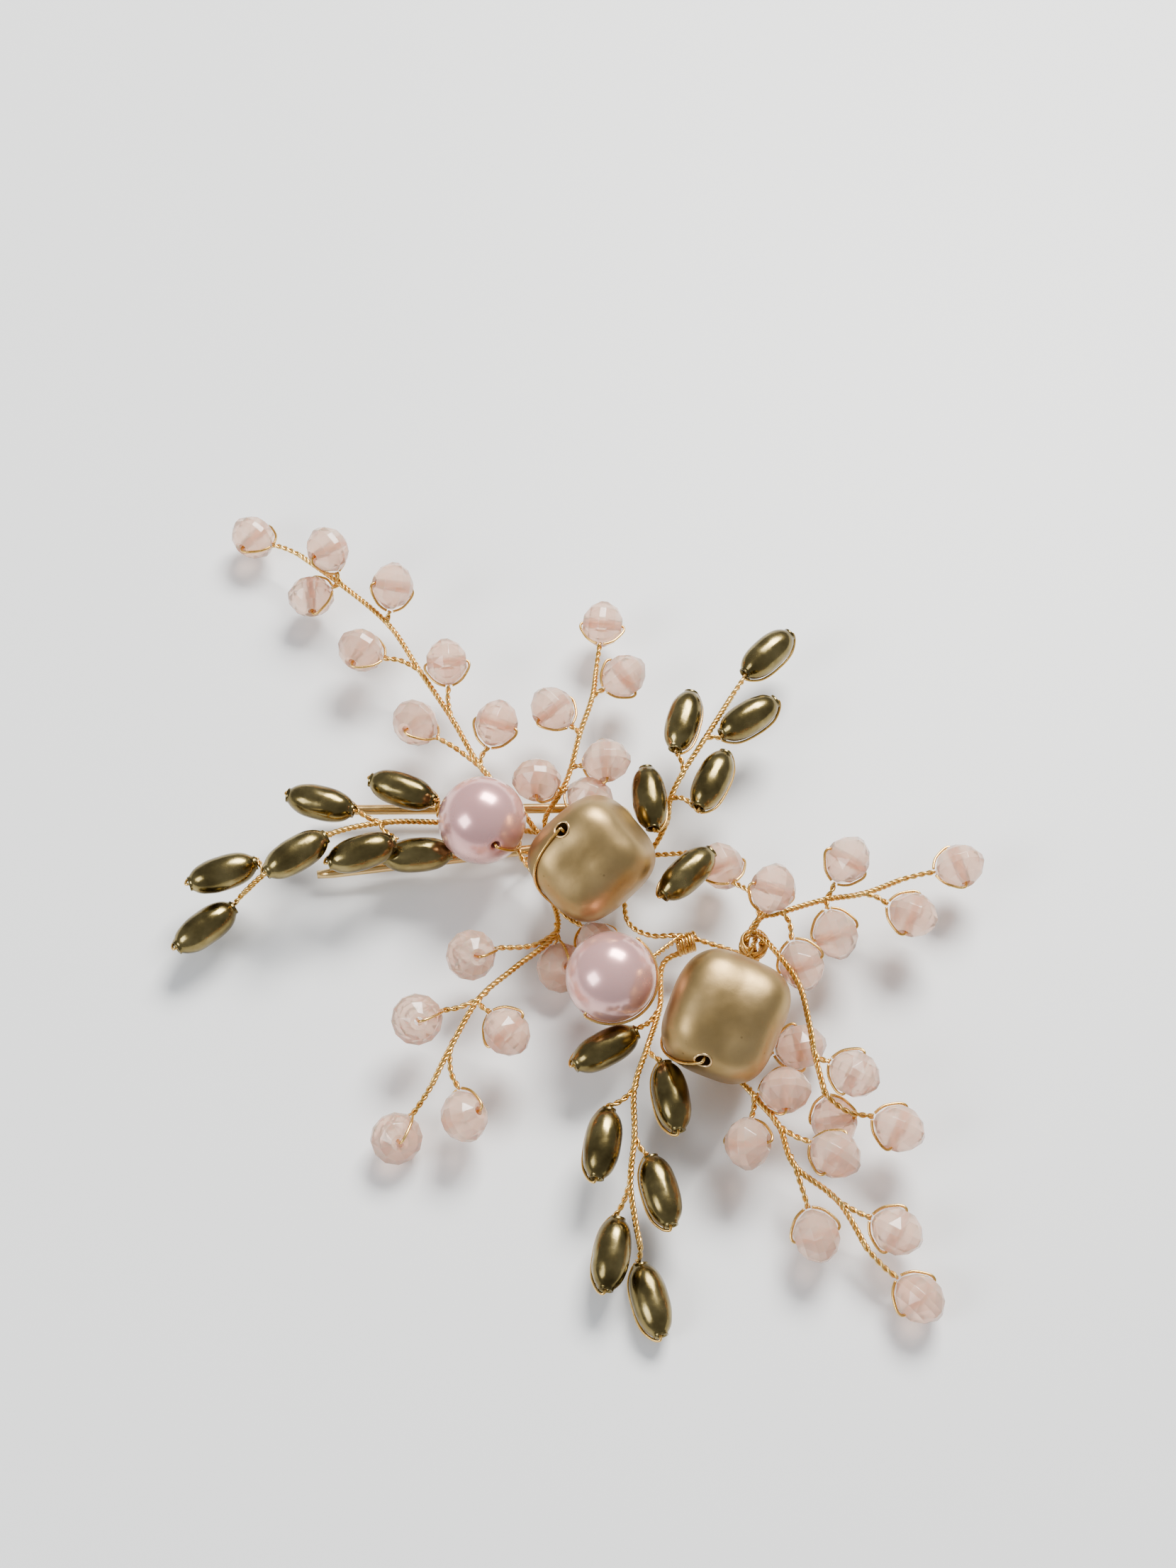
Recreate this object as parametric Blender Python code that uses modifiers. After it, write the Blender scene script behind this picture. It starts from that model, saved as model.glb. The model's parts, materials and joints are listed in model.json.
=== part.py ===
"""Wire-wrapped hair pin: nine beaded wire sprigs round two nuggets and two pearls, bound to a U-shaped pin.

The object lies on its back as on a table: +Z up, the pin's legs along -X, the long spray of sprigs along Y.
Lengths in the tables below are millimetres. MM turns them into metres.
"""

import math

import bmesh
import bpy
from mathutils import Matrix, Vector

MM = 0.001

# Wire
WIRE_RADIUS = 0.165  # the single strand through a bead
TWIG_RADIUS = 0.28  # two strands twisted
STEM_RADIUS = 0.34  # several strands twisted
LOOP_SIDE_GAP = 0.55  # from a bead's side to the middle of its loop's strand
LOOP_END_GAP = 0.6  # and from its end
TWIG_OVERLAP = 0.05  # how far a twig reaches into its loop
TWIG_SIDES = 4
STEM_SIDES = 6
WELD = 0.001  # between the points of a tube's caps and its walls

# Hair pin
PIN_WIRE_RADIUS = 0.6
PIN_CROWN_RADIUS = 2.1
PIN_LEG_LENGTH = 34.5
PIN_SPLAY = 7.0  # degrees between the two legs
PIN_CROWN_AHEAD = 7.0  # how far the crown stands out beyond the binding
PIN_TURN = 7.5  # degrees that the near leg is turned under the left sprig
PIN_SIDES = 8
BINDING_CENTRE = (-0.3, 6.6, 2.257)  # on the near leg, high enough for the coil to clear the table
LEG_POINTS = 4
CROWN_POINTS = 12

# Binding coils
COIL_RADIUS = 2.1
COIL_TURNS = 5
COIL_PITCH = 0.75
COIL_STEPS_PER_TURN = 10
BINDING_SLOTS = 7  # stems evenly round the near leg inside the binding
BINDING_SLOT_RADIUS = 1.3
KNOT_CENTRE = (19.5, -8.0, 6.5)
KNOT_RADIUS = 1.7
KNOT_TURNS = 3
KNOT_SLOT_RADIUS = 0.8

# Small beads
BEAD_BORE_RADIUS = 0.5
ROSE_RADIUS = 2.85
ROSE_HALF_WIDTH = 2.35
BRONZE_RADIUS = 2.0
BRONZE_HALF_LENGTH = 4.0
ROSE_STEPS = 10
BRONZE_STEPS = 8
LOOP_STEPS = 6
BRONZE_LOOP_DROP = 0.5  # how far a bronze bead's loop leans down for each unit sideways
JOINED_SIDES = 8
JOINED_RINGS = 6
SCREW_MERGE = 0.01

# Pearls
PEARL_RADIUS = 5.0
PEARL_STEPS = 14
PEARL_RINGS = 10

# Nuggets
NUGGET_BORE_RADIUS = 0.9
NUGGET_SQUARENESS = 3.0
NUGGET_SUBDIVISIONS = 3
DRILL_DEPTH = 20.0
DRILL_SIDES = 10
ORNAMENT_GAP = 0.55  # from an ornament to the middle of the strand that hugs it
ORNAMENT_LOOP_STEPS = 15

UP = Vector((0.0, 0.0, 1.0))

# Each sprig has its stem's slot in the binding or the knot, the points of its stem beyond it, then its beads.
# A bead has the number of the stem point that its twig leaves from, how far it stands forward and to the left
# of that point along the stem's direction in plan, its height above the table, and a turn in degrees: for a
# rose bead the turn of its loop about the twig, for a bronze bead the heading of its long axis. A bead marked
# "joined" is one solid with its wire. Stem points are numbered from 0, and a slot gives the first two.
SPRIGS = {
    "far_left_rose": {
        "kind": "rose",
        "slot": ("binding", 0, 1, -3.5),
        "stem": [(-5, 7.5, 4), (-7.5, 11, 4.5), (-11.5, 15, 5.5), (-15, 21, 6.5), (-19, 27.5, 6.5),
                 (-23, 34, 6.5), (-29, 40, 6), (-34.5, 45, 5)],
        "beads": [(9, 7, 1.5, 3.5, 10), (8, 3, -1, 9.5, 20), (8, 2.5, 3, 4, 0), (7, 3, -3, 8.5, 25),
                  (6, 6.5, 4.5, 6, 10), (5, 6.5, -3, 7.5, 0), (4, 9, 3, 6.5, 30),
                  (4, 3, -4.5, 7, 0, "joined")],
    },
    "far_rose": {
        "kind": "rose",
        "slot": ("binding", 2, 1, -3),
        "stem": [(-4, 9.5, 3), (-2, 12, 5.5), (-1, 14.5, 6), (0, 18.5, 7), (1.5, 23.5, 7), (2, 28, 6)],
        "beads": [(7, 7, 0, 5, 0), (6, 4, -3, 6.5, 20), (5, 2.5, 4, 7, 0), (4, 1, -4, 8.5, 10, "joined"),
                  (3, -1.5, 2.5, 8, 0, "joined"), (3, 0.5, -3.5, 6, 0, "joined")],
    },
    "left_bronze": {
        "kind": "bronze",
        "slot": ("binding", 1, 1, -3.5),
        "stem": [(-10, 8.5, 3), (-15.5, 8, 5), (-22.5, 7, 7), (-29, 5, 7.5), (-35, 1, 7), (-38, -1.5, 6)],
        "beads": [(3, 4.5, -3.5, 7.5, -20), (4, 6.5, -3.5, 8, -15), (3, 3.5, 4, 5.5, 5, "joined"),
                  (4, 3, 4, 8.5, 20), (5, 4, 2, 10, 35), (6, 4.5, -3, 6.5, 20), (7, 5.5, 0, 4.5, 40)],
    },
    "far_right_bronze": {
        "kind": "bronze",
        "slot": ("binding", 5, -1.5, 3),
        "stem": [(7.5, 5, 2.5), (10, 8, 4.5), (10.5, 10.5, 6), (12, 13.5, 7), (14.5, 17.5, 7.5),
                 (18, 24, 6.5)],
        "beads": [(7, 7.5, -1, 6, 45), (6, 5.5, -3, 7, 35), (5, 5.5, 3, 8, 75), (4, 3, -4, 8, 65),
                  (3, 0.5, 2.5, 8, 95, "joined"), (2, 2.5, -6.5, 8.5, 45)],
    },
    "near_left_rose": {
        "kind": "rose",
        "slot": ("binding", 6, 1, -3.5),
        "stem": [(-3.5, 1.5, 1.5), (-2.5, -5.5, 4.5), (-7, -10.5, 6), (-11, -14.5, 6.5), (-14, -20, 6),
                 (-16, -24, 5)],
        "beads": [(3, 6.5, -8, 7, 55), (5, 6, -4, 6.5, 60), (5, 1.5, 5, 7, 20), (7, 6.5, -1, 2.8, 60),
                  (6, 6, 5, 5, 40), (3, 3.5, 1.5, 2.9, 70, "joined"), (2, 8.5, 5, 3, 0, "joined")],
    },
    "near_bronze": {
        "kind": "bronze",
        "stem": [(13, -7.5, 4.3), (9.5, -9, 3.5), (9, -14.5, 4), (7.5, -20, 6), (6, -25, 6.5), (6, -30, 6),
                 (5.5, -35, 5.5), (6, -39, 4.5), (6.5, -41.5, 4)],
        "beads": [(2, 6.5, -5, 5.5, 30, "joined"), (3, 5, 4, 6.5, 100), (4, 6.5, -2.5, 6, 80),
                  (5, 6, 3, 5.5, 105), (6, 7.5, -2, 4, 80), (8, 5.5, 0, 2.05, 105)],
    },
    "right_rose": {
        "kind": "rose",
        "slot": ("knot", 165, 5.5, 8),
        "stem": [(20, -6, 9), (22.5, -5, 8.5), (27.5, -3, 7.5), (32, -2, 7), (36.5, 0, 6.5)],
        "beads": [(2, 2, 9, 5, 0, "joined"), (2, 2.5, 1, 12, 30), (4, 4, 3.5, 8.5, 20), (6, 7, -1, 6, 0),
                  (5, 4.5, -4, 6.5, 10), (4, 0, -4, 6.5, 10, "joined"), (3, 0, -6, 6.5, 20)],
    },
    "outer_right_rose": {
        "kind": "rose",
        "slot": ("knot", 75, 5.5, 8),
        "stem": [(21.5, -10, 9.5), (24, -14, 9.5), (25, -18.5, 9), (25.5, -21.5, 8), (26.5, -26, 7.5)],
        "beads": [(5, 3.5, 3.5, 9, 20), (6, 5, 7, 6, 10), (5, 6.5, 1, 3.5, 30, "joined")],
    },
    "lower_right_rose": {
        "kind": "rose",
        "slot": ("knot", 345, 7.5, 5),
        "stem": [(19, -11, 2.5), (17, -20, 2), (19, -25, 4.5), (21.5, -29, 6), (23, -33.5, 6), (27.5, -37, 5),
                 (30.5, -42, 4)],
        "beads": [(4, 5, -3.5, 6, 20), (5, 6, 3.5, 8, 10), (6, 7, -2.5, 4, 10), (7, 6.5, 2.5, 4.5, 20),
                  (8, 7, 2, 2.9, 10), (4, 1.5, 3, 6, 0, "joined"), (3, -1, 7.5, 3.5, 20, "joined")],
    },
}

# The nuggets' and pearls' wires: their slots, the points between, and the tails. A tail has its ornament, the
# number of the point that it leaves from, and where it meets the ornament's loop, in degrees from the bore.
ORNAMENT_WIRES = {
    "upper_nugget": {
        "slot": ("binding", 3, 1, -3),
        "stem": [(-4.5, 5.5, 1), (-6, 4.5, 2.5), (-6.5, 3.5, 4.5)],
        "tails": [("left_pearl", 4, 120), ("upper_nugget", 4, 115)],
    },
    "lower_nugget": {
        "slot": ("binding", 4, -1, 3),
        "stem": [(5, 2, 1.5), (5.5, -3.5, 3), (8, -6, 4.5), (11.5, -6.5, 5.5), (15.5, -7.5, 5)],
        "end_slot": ("knot", 255, 5, 8.5),
        "tails": [("centre_pearl", 5, 150), ("lower_nugget", 8, 170)],
    },
}

# The four ornaments: centre, the way the bore faces, and the side that the wire hugs.
ORNAMENTS = {
    "upper_nugget": {"centre": (1.5, 1, 10), "bore": (-0.5, 0.1, 0.85), "side": (-0.8, -0.6, -0.1)},
    "lower_nugget": {"centre": (16, -18, 10), "bore": (-0.4, -0.85, 0.3), "side": (-0.75, 0.2, -0.6)},
    "left_pearl": {"centre": (-11, 6, 9.5), "bore": (0.35, -0.85, 0.4), "side": (0.6, 0.2, -0.7)},
    "centre_pearl": {"centre": (3.5, -13, 9), "bore": (-0.55, -0.8, -0.15), "side": (0.8, -0.55, -0.2)},
}

# Each nugget is a rounded block: half sizes on its own axes, turn, and dents (direction, depth, sharpness).
NUGGETS = {
    "upper_nugget": {
        "half_sizes": (6.5, 6.2, 6.1),
        "turn": (20, -25, 35),
        "dents": [((-0.2, -0.5, 0.8), 0.5, 8), ((0.6, -0.7, 0.4), 0.7, 5), ((0.7, 0.3, 0.65), 0.6, 5)],
    },
    "lower_nugget": {
        "half_sizes": (6.4, 6.9, 6.1),
        "turn": (15, 10, -20),
        "dents": [((-0.1, -0.75, 0.65), 0.9, 6), ((0.3, 0.35, 0.85), 0.7, 5), ((0.8, -0.6, 0.3), 0.7, 5)],
    },
}


def clear_scene():
    for obj in list(bpy.data.objects):
        bpy.data.objects.remove(obj, do_unlink=True)


def new_collection(name):
    collection = bpy.data.collections.new(name)
    bpy.context.scene.collection.children.link(collection)
    return collection


def new_material(name, colour, roughness, metallic):
    material = bpy.data.materials.new(name)
    material.use_nodes = True
    shader = material.node_tree.nodes["Principled BSDF"]
    shader.inputs["Base Color"].default_value = (*colour, 1.0)
    shader.inputs["Roughness"].default_value = roughness
    shader.inputs["Metallic"].default_value = metallic
    return material


def add_object(name, mesh, collection, material=None):
    obj = bpy.data.objects.new(name, mesh)
    collection.objects.link(obj)
    if material:
        mesh.materials.clear()
        mesh.materials.append(material)
    return obj


def hide_cutter(obj):
    obj.hide_render = True
    obj.display_type = "WIRE"


# Curves and tubes


def tubes_mesh(name, tubes, sides):
    """One mesh of closed tubes. Each tube is (points in millimetres, radius, cyclic)."""
    curve = bpy.data.curves.new(name, "CURVE")
    curve.dimensions = "3D"
    curve.bevel_depth = MM
    curve.bevel_resolution = (sides - 4) // 2
    curve.use_fill_caps = True
    for points, radius, cyclic in tubes:
        spline = curve.splines.new("POLY")
        spline.points.add(len(points) - 1)
        spline.use_cyclic_u = cyclic
        for spline_point, point in zip(spline.points, points):
            spline_point.co = (*(Vector(point) * MM), 1.0)
            spline_point.radius = radius
            spline_point.tilt = math.pi / sides  # turns a flat side down
    guide = bpy.data.objects.new(name, curve)
    bpy.context.scene.collection.objects.link(guide)
    evaluated = guide.evaluated_get(bpy.context.evaluated_depsgraph_get())
    mesh = bpy.data.meshes.new_from_object(evaluated)
    bpy.data.objects.remove(guide, do_unlink=True)
    welded = bmesh.new()
    welded.from_mesh(mesh)
    bmesh.ops.remove_doubles(welded, verts=welded.verts, dist=WELD * MM)
    bmesh.ops.recalc_face_normals(welded, faces=welded.faces)
    welded.to_mesh(mesh)
    welded.free()
    return mesh


def smooth_path(points, steps=2):
    """The points of a smooth curve through the given points (a Catmull-Rom spline)."""
    ends = [points[0] * 2 - points[1], *points, points[-1] * 2 - points[-2]]
    path = []
    for before, start, end, after in zip(ends, ends[1:], ends[2:], ends[3:]):
        for step in range(steps):
            t = step / steps
            path.append(
                start
                + (end - before) * (t / 2)
                + (before * 2 - start * 5 + end * 4 - after) * (t**2 / 2)
                + (start * 3 - before - end * 3 + after) * (t**3 / 2)
            )
    path.append(points[-1])
    return path


# Layout


def slot_points(slot):
    """The two points of a slot: (place, number or angle, first and second position along the bundle)."""
    place, number, first, second = slot
    if place == "binding":
        angle = math.pi / 2 - 2 * math.pi * number / BINDING_SLOTS
        y = BINDING_CENTRE[1] + BINDING_SLOT_RADIUS * math.cos(angle)
        z = BINDING_CENTRE[2] + BINDING_SLOT_RADIUS * math.sin(angle)
        return [Vector((first, y, z)), Vector((second, y, z))]
    x = KNOT_CENTRE[0] + KNOT_SLOT_RADIUS * math.cos(math.radians(number))
    y = KNOT_CENTRE[1] + KNOT_SLOT_RADIUS * math.sin(math.radians(number))
    return [Vector((x, y, first)), Vector((x, y, second))]


def stem_points(wire):
    """All the points of a stem, with its slots'."""
    points = [Vector(point) for point in wire["stem"]]
    if "slot" in wire:
        points = slot_points(wire["slot"]) + points
    if "end_slot" in wire:
        points += slot_points(wire["end_slot"])
    return points


def bead_centre(stem, number, forward, left, height):
    """A bead's centre, counted from a stem point along the stem's direction in plan."""
    ahead = stem[min(number + 1, len(stem) - 1)] - stem[number - 1]
    ahead.z = 0.0
    ahead.normalize()
    centre = stem[number] + ahead * forward + UP.cross(ahead) * left
    centre.z = height
    return centre


# Beads


def bead_axes(kind, centre, root, turn):
    """(bore direction, side that the wire's loop bulges to) of a bead on a twig from root."""
    if kind == "rose":
        outward = (centre - root).normalized()
        level = UP.cross(outward).normalized()
        return Matrix.Rotation(math.radians(turn), 3, outward) @ level, -outward
    heading = Vector((math.cos(math.radians(turn)), math.sin(math.radians(turn)), 0.0))
    if heading.dot(centre - root) < 0:
        heading.negate()
    return heading, (heading.cross(UP) - UP * BRONZE_LOOP_DROP).normalized()


def loop_points(centre, bore, side, half_length, bulge):
    """A D-shaped loop: half an ellipse on one side, closed by the straight run through the bore."""
    points = []
    for step in range(LOOP_STEPS + 1):
        angle = math.pi * step / LOOP_STEPS
        points.append(centre + bore * (half_length * math.cos(angle)) + side * (bulge * math.sin(angle)))
    return points


def rose_loop(centre, bore, side):
    return loop_points(centre, bore, side, ROSE_HALF_WIDTH + LOOP_END_GAP, ROSE_RADIUS + LOOP_SIDE_GAP)


def bronze_loop(centre, bore, side):
    return loop_points(centre, bore, side, BRONZE_HALF_LENGTH + LOOP_END_GAP, BRONZE_RADIUS + LOOP_SIDE_GAP)


def ring_profile(half_profile):
    """A bead's outline down its outer side from the bore's rim, mirrored to the other end, in millimetres."""
    return half_profile + [(radius, -height) for radius, height in reversed(half_profile)]


ROSE_PROFILE = ring_profile([(BEAD_BORE_RADIUS, ROSE_HALF_WIDTH), (2.05, 1.75), (ROSE_RADIUS, 0.4)])
BRONZE_PROFILE = ring_profile(
    [(BEAD_BORE_RADIUS, BRONZE_HALF_LENGTH), (1.2, 3.4), (1.75, 2.1), (BRONZE_RADIUS, 0.7)]
)


def pearl_profile():
    start = math.asin(BEAD_BORE_RADIUS / PEARL_RADIUS)
    span = math.pi - 2 * start
    angles = [start + span * ring / PEARL_RINGS for ring in range(PEARL_RINGS + 1)]
    return [(PEARL_RADIUS * math.sin(a), PEARL_RADIUS * math.cos(a)) for a in angles]


def turned_mesh(name, profile):
    """A closed outline beside the Z axis, for a Screw modifier to turn."""
    mesh = bpy.data.meshes.new(name)
    points = [(radius * MM, 0.0, height * MM) for radius, height in profile]
    edges = [(index, (index + 1) % len(points)) for index in range(len(points))]
    mesh.from_pydata(points, edges, [])
    return mesh


def add_turned(name, mesh, steps, centre, bore, collection):
    """A turned bead with its origin at its centre and its own Z axis along its bore."""
    obj = bpy.data.objects.new(name, mesh)
    collection.objects.link(obj)
    obj.location = centre * MM
    obj.rotation_mode = "QUATERNION"
    obj.rotation_quaternion = bore.to_track_quat("Z", "X")
    screw = obj.modifiers.new("turn", "SCREW")
    screw.axis = "Z"
    screw.angle = 2 * math.pi
    screw.steps = steps
    screw.render_steps = steps
    screw.use_merge_vertices = True
    screw.merge_threshold = SCREW_MERGE * MM
    screw.use_smooth_shade = True
    return obj


def add_joined_bead(solid, kind, centre, bore):
    """Adds a bead that is one solid with its wire to the bmesh of the twigs."""
    if kind == "rose":
        size = Vector((ROSE_RADIUS, ROSE_RADIUS, ROSE_HALF_WIDTH))
    else:
        size = Vector((BRONZE_RADIUS, BRONZE_RADIUS, BRONZE_HALF_LENGTH))
    turn = bore.to_track_quat("Z", "X").to_matrix().to_4x4()
    place = Matrix.Translation(centre * MM) @ turn @ Matrix.Diagonal((*(size * MM), 1.0))
    bmesh.ops.create_uvsphere(
        solid, u_segments=JOINED_SIDES, v_segments=JOINED_RINGS, radius=1.0, matrix=place
    )


# Wires


def union_of(name, base_mesh, joined_mesh, parts, cutters, material):
    """The base mesh with every overlapping shape of the joined mesh united into it."""
    obj = add_object(name, base_mesh, parts, material)
    joined = add_object(name + "_twigs", joined_mesh, cutters)
    hide_cutter(joined)
    union = obj.modifiers.new("join the twigs", "BOOLEAN")
    union.operation = "UNION"
    union.solver = "EXACT"
    union.use_self = True
    union.object = joined
    return obj


def build_sprig(name, sprig, meshes, materials, parts, cutters):
    """One sprig: its wire with every twig and loop, and its beads."""
    kind = sprig["kind"]
    stem = stem_points(sprig)
    stem_mesh = tubes_mesh(name + "_stem", [(smooth_path(stem), STEM_RADIUS, False)], STEM_SIDES)
    tubes = []
    joined_beads = []
    for number, (root_index, forward, left, height, turn, *marks) in enumerate(sprig["beads"], 1):
        root = stem[root_index]
        centre = bead_centre(stem, root_index, forward, left, height)
        bore, side = bead_axes(kind, centre, root, turn)
        if kind == "rose":
            loop = rose_loop(centre, bore, side)
            base = centre + side * (ROSE_RADIUS + LOOP_SIDE_GAP)
        else:
            loop = bronze_loop(centre, bore, side)
            base = loop[-1]
        tubes.append(([root, base + (base - root).normalized() * TWIG_OVERLAP], TWIG_RADIUS, False))
        tubes.append((loop, WIRE_RADIUS, True))
        if marks:
            joined_beads.append((centre, bore))
            continue
        steps = ROSE_STEPS if kind == "rose" else BRONZE_STEPS
        add_turned(f"{name}_bead_{number}", meshes[kind], steps, centre, bore, parts)
    twigs = tubes_mesh(name + "_twigs", tubes, TWIG_SIDES)
    solid = bmesh.new()
    solid.from_mesh(twigs)
    for centre, bore in joined_beads:
        add_joined_bead(solid, kind, centre, bore)
    solid.to_mesh(twigs)
    solid.free()
    union_of(name + "_wire", stem_mesh, twigs, parts, cutters, materials["wire"])


# Nuggets


def nugget_turn(name):
    angles = [math.radians(angle) for angle in NUGGETS[name]["turn"]]
    turn = Matrix.Rotation(angles[2], 3, "Z")
    return turn @ Matrix.Rotation(angles[1], 3, "Y") @ Matrix.Rotation(angles[0], 3, "X")


def nugget_radius(name, direction):
    """How far the nugget's surface is from its centre along a world direction, in millimetres."""
    shape = NUGGETS[name]
    local = nugget_turn(name).transposed() @ direction
    power = NUGGET_SQUARENESS
    total = sum(abs(part / half) ** power for part, half in zip(local, shape["half_sizes"]))
    radius = total ** (-1 / power)
    for dent, depth, sharpness in shape["dents"]:
        radius -= depth * math.exp(-sharpness * (1 - Vector(dent).normalized().dot(direction)))
    return radius


def build_nugget(name, parts, cutters, material):
    ornament = ORNAMENTS[name]
    centre = Vector(ornament["centre"])
    bore = Vector(ornament["bore"]).normalized()
    ball = bmesh.new()
    bmesh.ops.create_icosphere(ball, subdivisions=NUGGET_SUBDIVISIONS, radius=1.0)
    for vertex in ball.verts:
        direction = vertex.co.normalized()
        vertex.co = direction * (nugget_radius(name, direction) * MM)
    mesh = bpy.data.meshes.new(name)
    ball.to_mesh(mesh)
    ball.free()
    mesh.shade_smooth()
    obj = add_object(name, mesh, parts, material)
    obj.location = centre * MM
    drill = bmesh.new()
    bmesh.ops.create_cone(
        drill,
        cap_ends=True,
        segments=DRILL_SIDES,
        radius1=NUGGET_BORE_RADIUS * MM,
        radius2=NUGGET_BORE_RADIUS * MM,
        depth=DRILL_DEPTH * MM,
    )
    drill_mesh = bpy.data.meshes.new(name + "_drill")
    drill.to_mesh(drill_mesh)
    drill.free()
    cutter = add_object(name + "_drill", drill_mesh, cutters)
    cutter.location = centre * MM
    cutter.rotation_mode = "QUATERNION"
    cutter.rotation_quaternion = bore.to_track_quat("Z", "X")
    hide_cutter(cutter)
    cut = obj.modifiers.new("bore", "BOOLEAN")
    cut.operation = "DIFFERENCE"
    cut.solver = "EXACT"
    cut.object = cutter


def ornament_axes(name):
    bore = Vector(ORNAMENTS[name]["bore"]).normalized()
    side = Vector(ORNAMENTS[name]["side"])
    side = (side - bore * side.dot(bore)).normalized()
    return bore, side


def ornament_point(name, degrees):
    """A point of the wire that hugs an ornament: 0 degrees at the bore's face, round its side to 180."""
    bore, side = ornament_axes(name)
    angle = math.radians(degrees)
    direction = bore * math.cos(angle) + side * math.sin(angle)
    radius = nugget_radius(name, direction) if name in NUGGETS else PEARL_RADIUS
    return Vector(ORNAMENTS[name]["centre"]) + direction * (radius + ORNAMENT_GAP)


def build_ornament_wire(name, wire, parts, cutters, material):
    path = stem_points(wire)
    path_mesh = tubes_mesh(name + "_path", [(smooth_path(path), TWIG_RADIUS, False)], STEM_SIDES)
    tubes = []
    for ornament, root_index, degrees in wire["tails"]:
        steps = range(ORNAMENT_LOOP_STEPS + 1)
        loop = [ornament_point(ornament, 180 * step / ORNAMENT_LOOP_STEPS) for step in steps]
        tubes.append((loop, WIRE_RADIUS, True))
        root = path[root_index]
        base = ornament_point(ornament, degrees)
        tubes.append(([root, base], TWIG_RADIUS, False))
    if "end_slot" in wire:
        knot = Vector(KNOT_CENTRE)
        towards = (path[-1] - knot) * Vector((1.0, 1.0, 0.0))
        coil = coil_points(knot, UP, towards.normalized(), KNOT_RADIUS, KNOT_TURNS)
        tubes.append(([*coil, path[-1]], WIRE_RADIUS, False))
    twigs = tubes_mesh(name + "_tails", tubes, TWIG_SIDES)
    union_of(name + "_wire", path_mesh, twigs, parts, cutters, material)


# Pin and bindings


def build_pin(parts, material):
    """The U-shaped pin: two straight legs and a half-round crown, with its origin in the binding."""
    bend_x = PIN_CROWN_AHEAD - PIN_CROWN_RADIUS - PIN_WIRE_RADIUS
    splay = math.radians(PIN_SPLAY)
    outward = Vector((-math.cos(splay), math.sin(splay), 0.0))
    crown = []
    for step in range(CROWN_POINTS + 1):
        angle = math.pi / 2 - splay - (math.pi - splay) * step / CROWN_POINTS
        reach = Vector((math.cos(angle), 1 + math.sin(angle), 0.0)) * PIN_CROWN_RADIUS
        crown.append(Vector((bend_x, 0.0, 0.0)) + reach)
    shares = [step / LEG_POINTS for step in range(LEG_POINTS)]
    far_leg = [crown[0] + outward * (PIN_LEG_LENGTH * (1 - share)) for share in shares]
    near_leg = [Vector((bend_x - PIN_LEG_LENGTH * (1 - share), 0.0, 0.0)) for share in reversed(shares)]
    mesh = tubes_mesh("hair_pin", [(far_leg + crown + near_leg, PIN_WIRE_RADIUS, False)], PIN_SIDES)
    obj = add_object("hair_pin", mesh, parts, material)
    obj.location = Vector(BINDING_CENTRE) * MM
    obj.rotation_euler.z = math.radians(PIN_TURN)


def coil_points(centre, axis, across, radius, turns):
    """The centre line of a binding: a helix round a bundle of stems, ending on the side where it starts."""
    upward = axis.cross(across)
    points = []
    count = round(turns * COIL_STEPS_PER_TURN)
    for step in range(count + 1):
        angle = 2 * math.pi * step / COIL_STEPS_PER_TURN
        along = COIL_PITCH * (step / COIL_STEPS_PER_TURN - turns / 2)
        points.append(centre + axis * along + (across * math.cos(angle) + upward * math.sin(angle)) * radius)
    return points


def build_binding(parts, material):
    """The wire that binds the roots of the stems to the near leg of the pin."""
    along = Vector((1.0, 0.0, 0.0))
    points = coil_points(Vector(BINDING_CENTRE), along, UP, COIL_RADIUS, COIL_TURNS)
    mesh = tubes_mesh("binding_wire", [(points, WIRE_RADIUS, False)], TWIG_SIDES)
    add_object("binding_wire", mesh, parts, material)


def main():
    clear_scene()
    parts = new_collection("decorative_hair_pin")
    cutters = new_collection("cutters")
    materials = {
        "wire": new_material("gold_wire", (0.78, 0.55, 0.28), 0.25, 1.0),
        "pin": new_material("gold_plated_pin", (0.80, 0.58, 0.30), 0.3, 1.0),
        "nugget": new_material("matte_antique_gold", (0.50, 0.36, 0.16), 0.42, 1.0),
        "pearl": new_material("pink_pearl", (0.80, 0.58, 0.58), 0.2, 0.0),
        "rose": new_material("milky_pink_glass", (0.86, 0.64, 0.58), 0.15, 0.0),
        "bronze": new_material("antique_bronze", (0.20, 0.14, 0.06), 0.2, 1.0),
    }
    meshes = {
        "rose": turned_mesh("rose_bead", ROSE_PROFILE),
        "bronze": turned_mesh("bronze_bead", BRONZE_PROFILE),
        "pearl": turned_mesh("pearl", pearl_profile()),
    }
    for kind, mesh in meshes.items():
        mesh.materials.append(materials[kind])
    build_pin(parts, materials["pin"])
    build_binding(parts, materials["wire"])
    for name, sprig in SPRIGS.items():
        build_sprig(name, sprig, meshes, materials, parts, cutters)
    for name, wire in ORNAMENT_WIRES.items():
        build_ornament_wire(name, wire, parts, cutters, materials["wire"])
    for name in NUGGETS:
        build_nugget(name, parts, cutters, materials["nugget"])
    for name in ("left_pearl", "centre_pearl"):
        bore = ornament_axes(name)[0]
        centre = Vector(ORNAMENTS[name]["centre"])
        add_turned(name, meshes["pearl"], PEARL_STEPS, centre, bore, parts)


main()
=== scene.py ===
import json
import math
import random

import bmesh
import bpy
from mathutils import Matrix, Vector, noise


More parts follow.
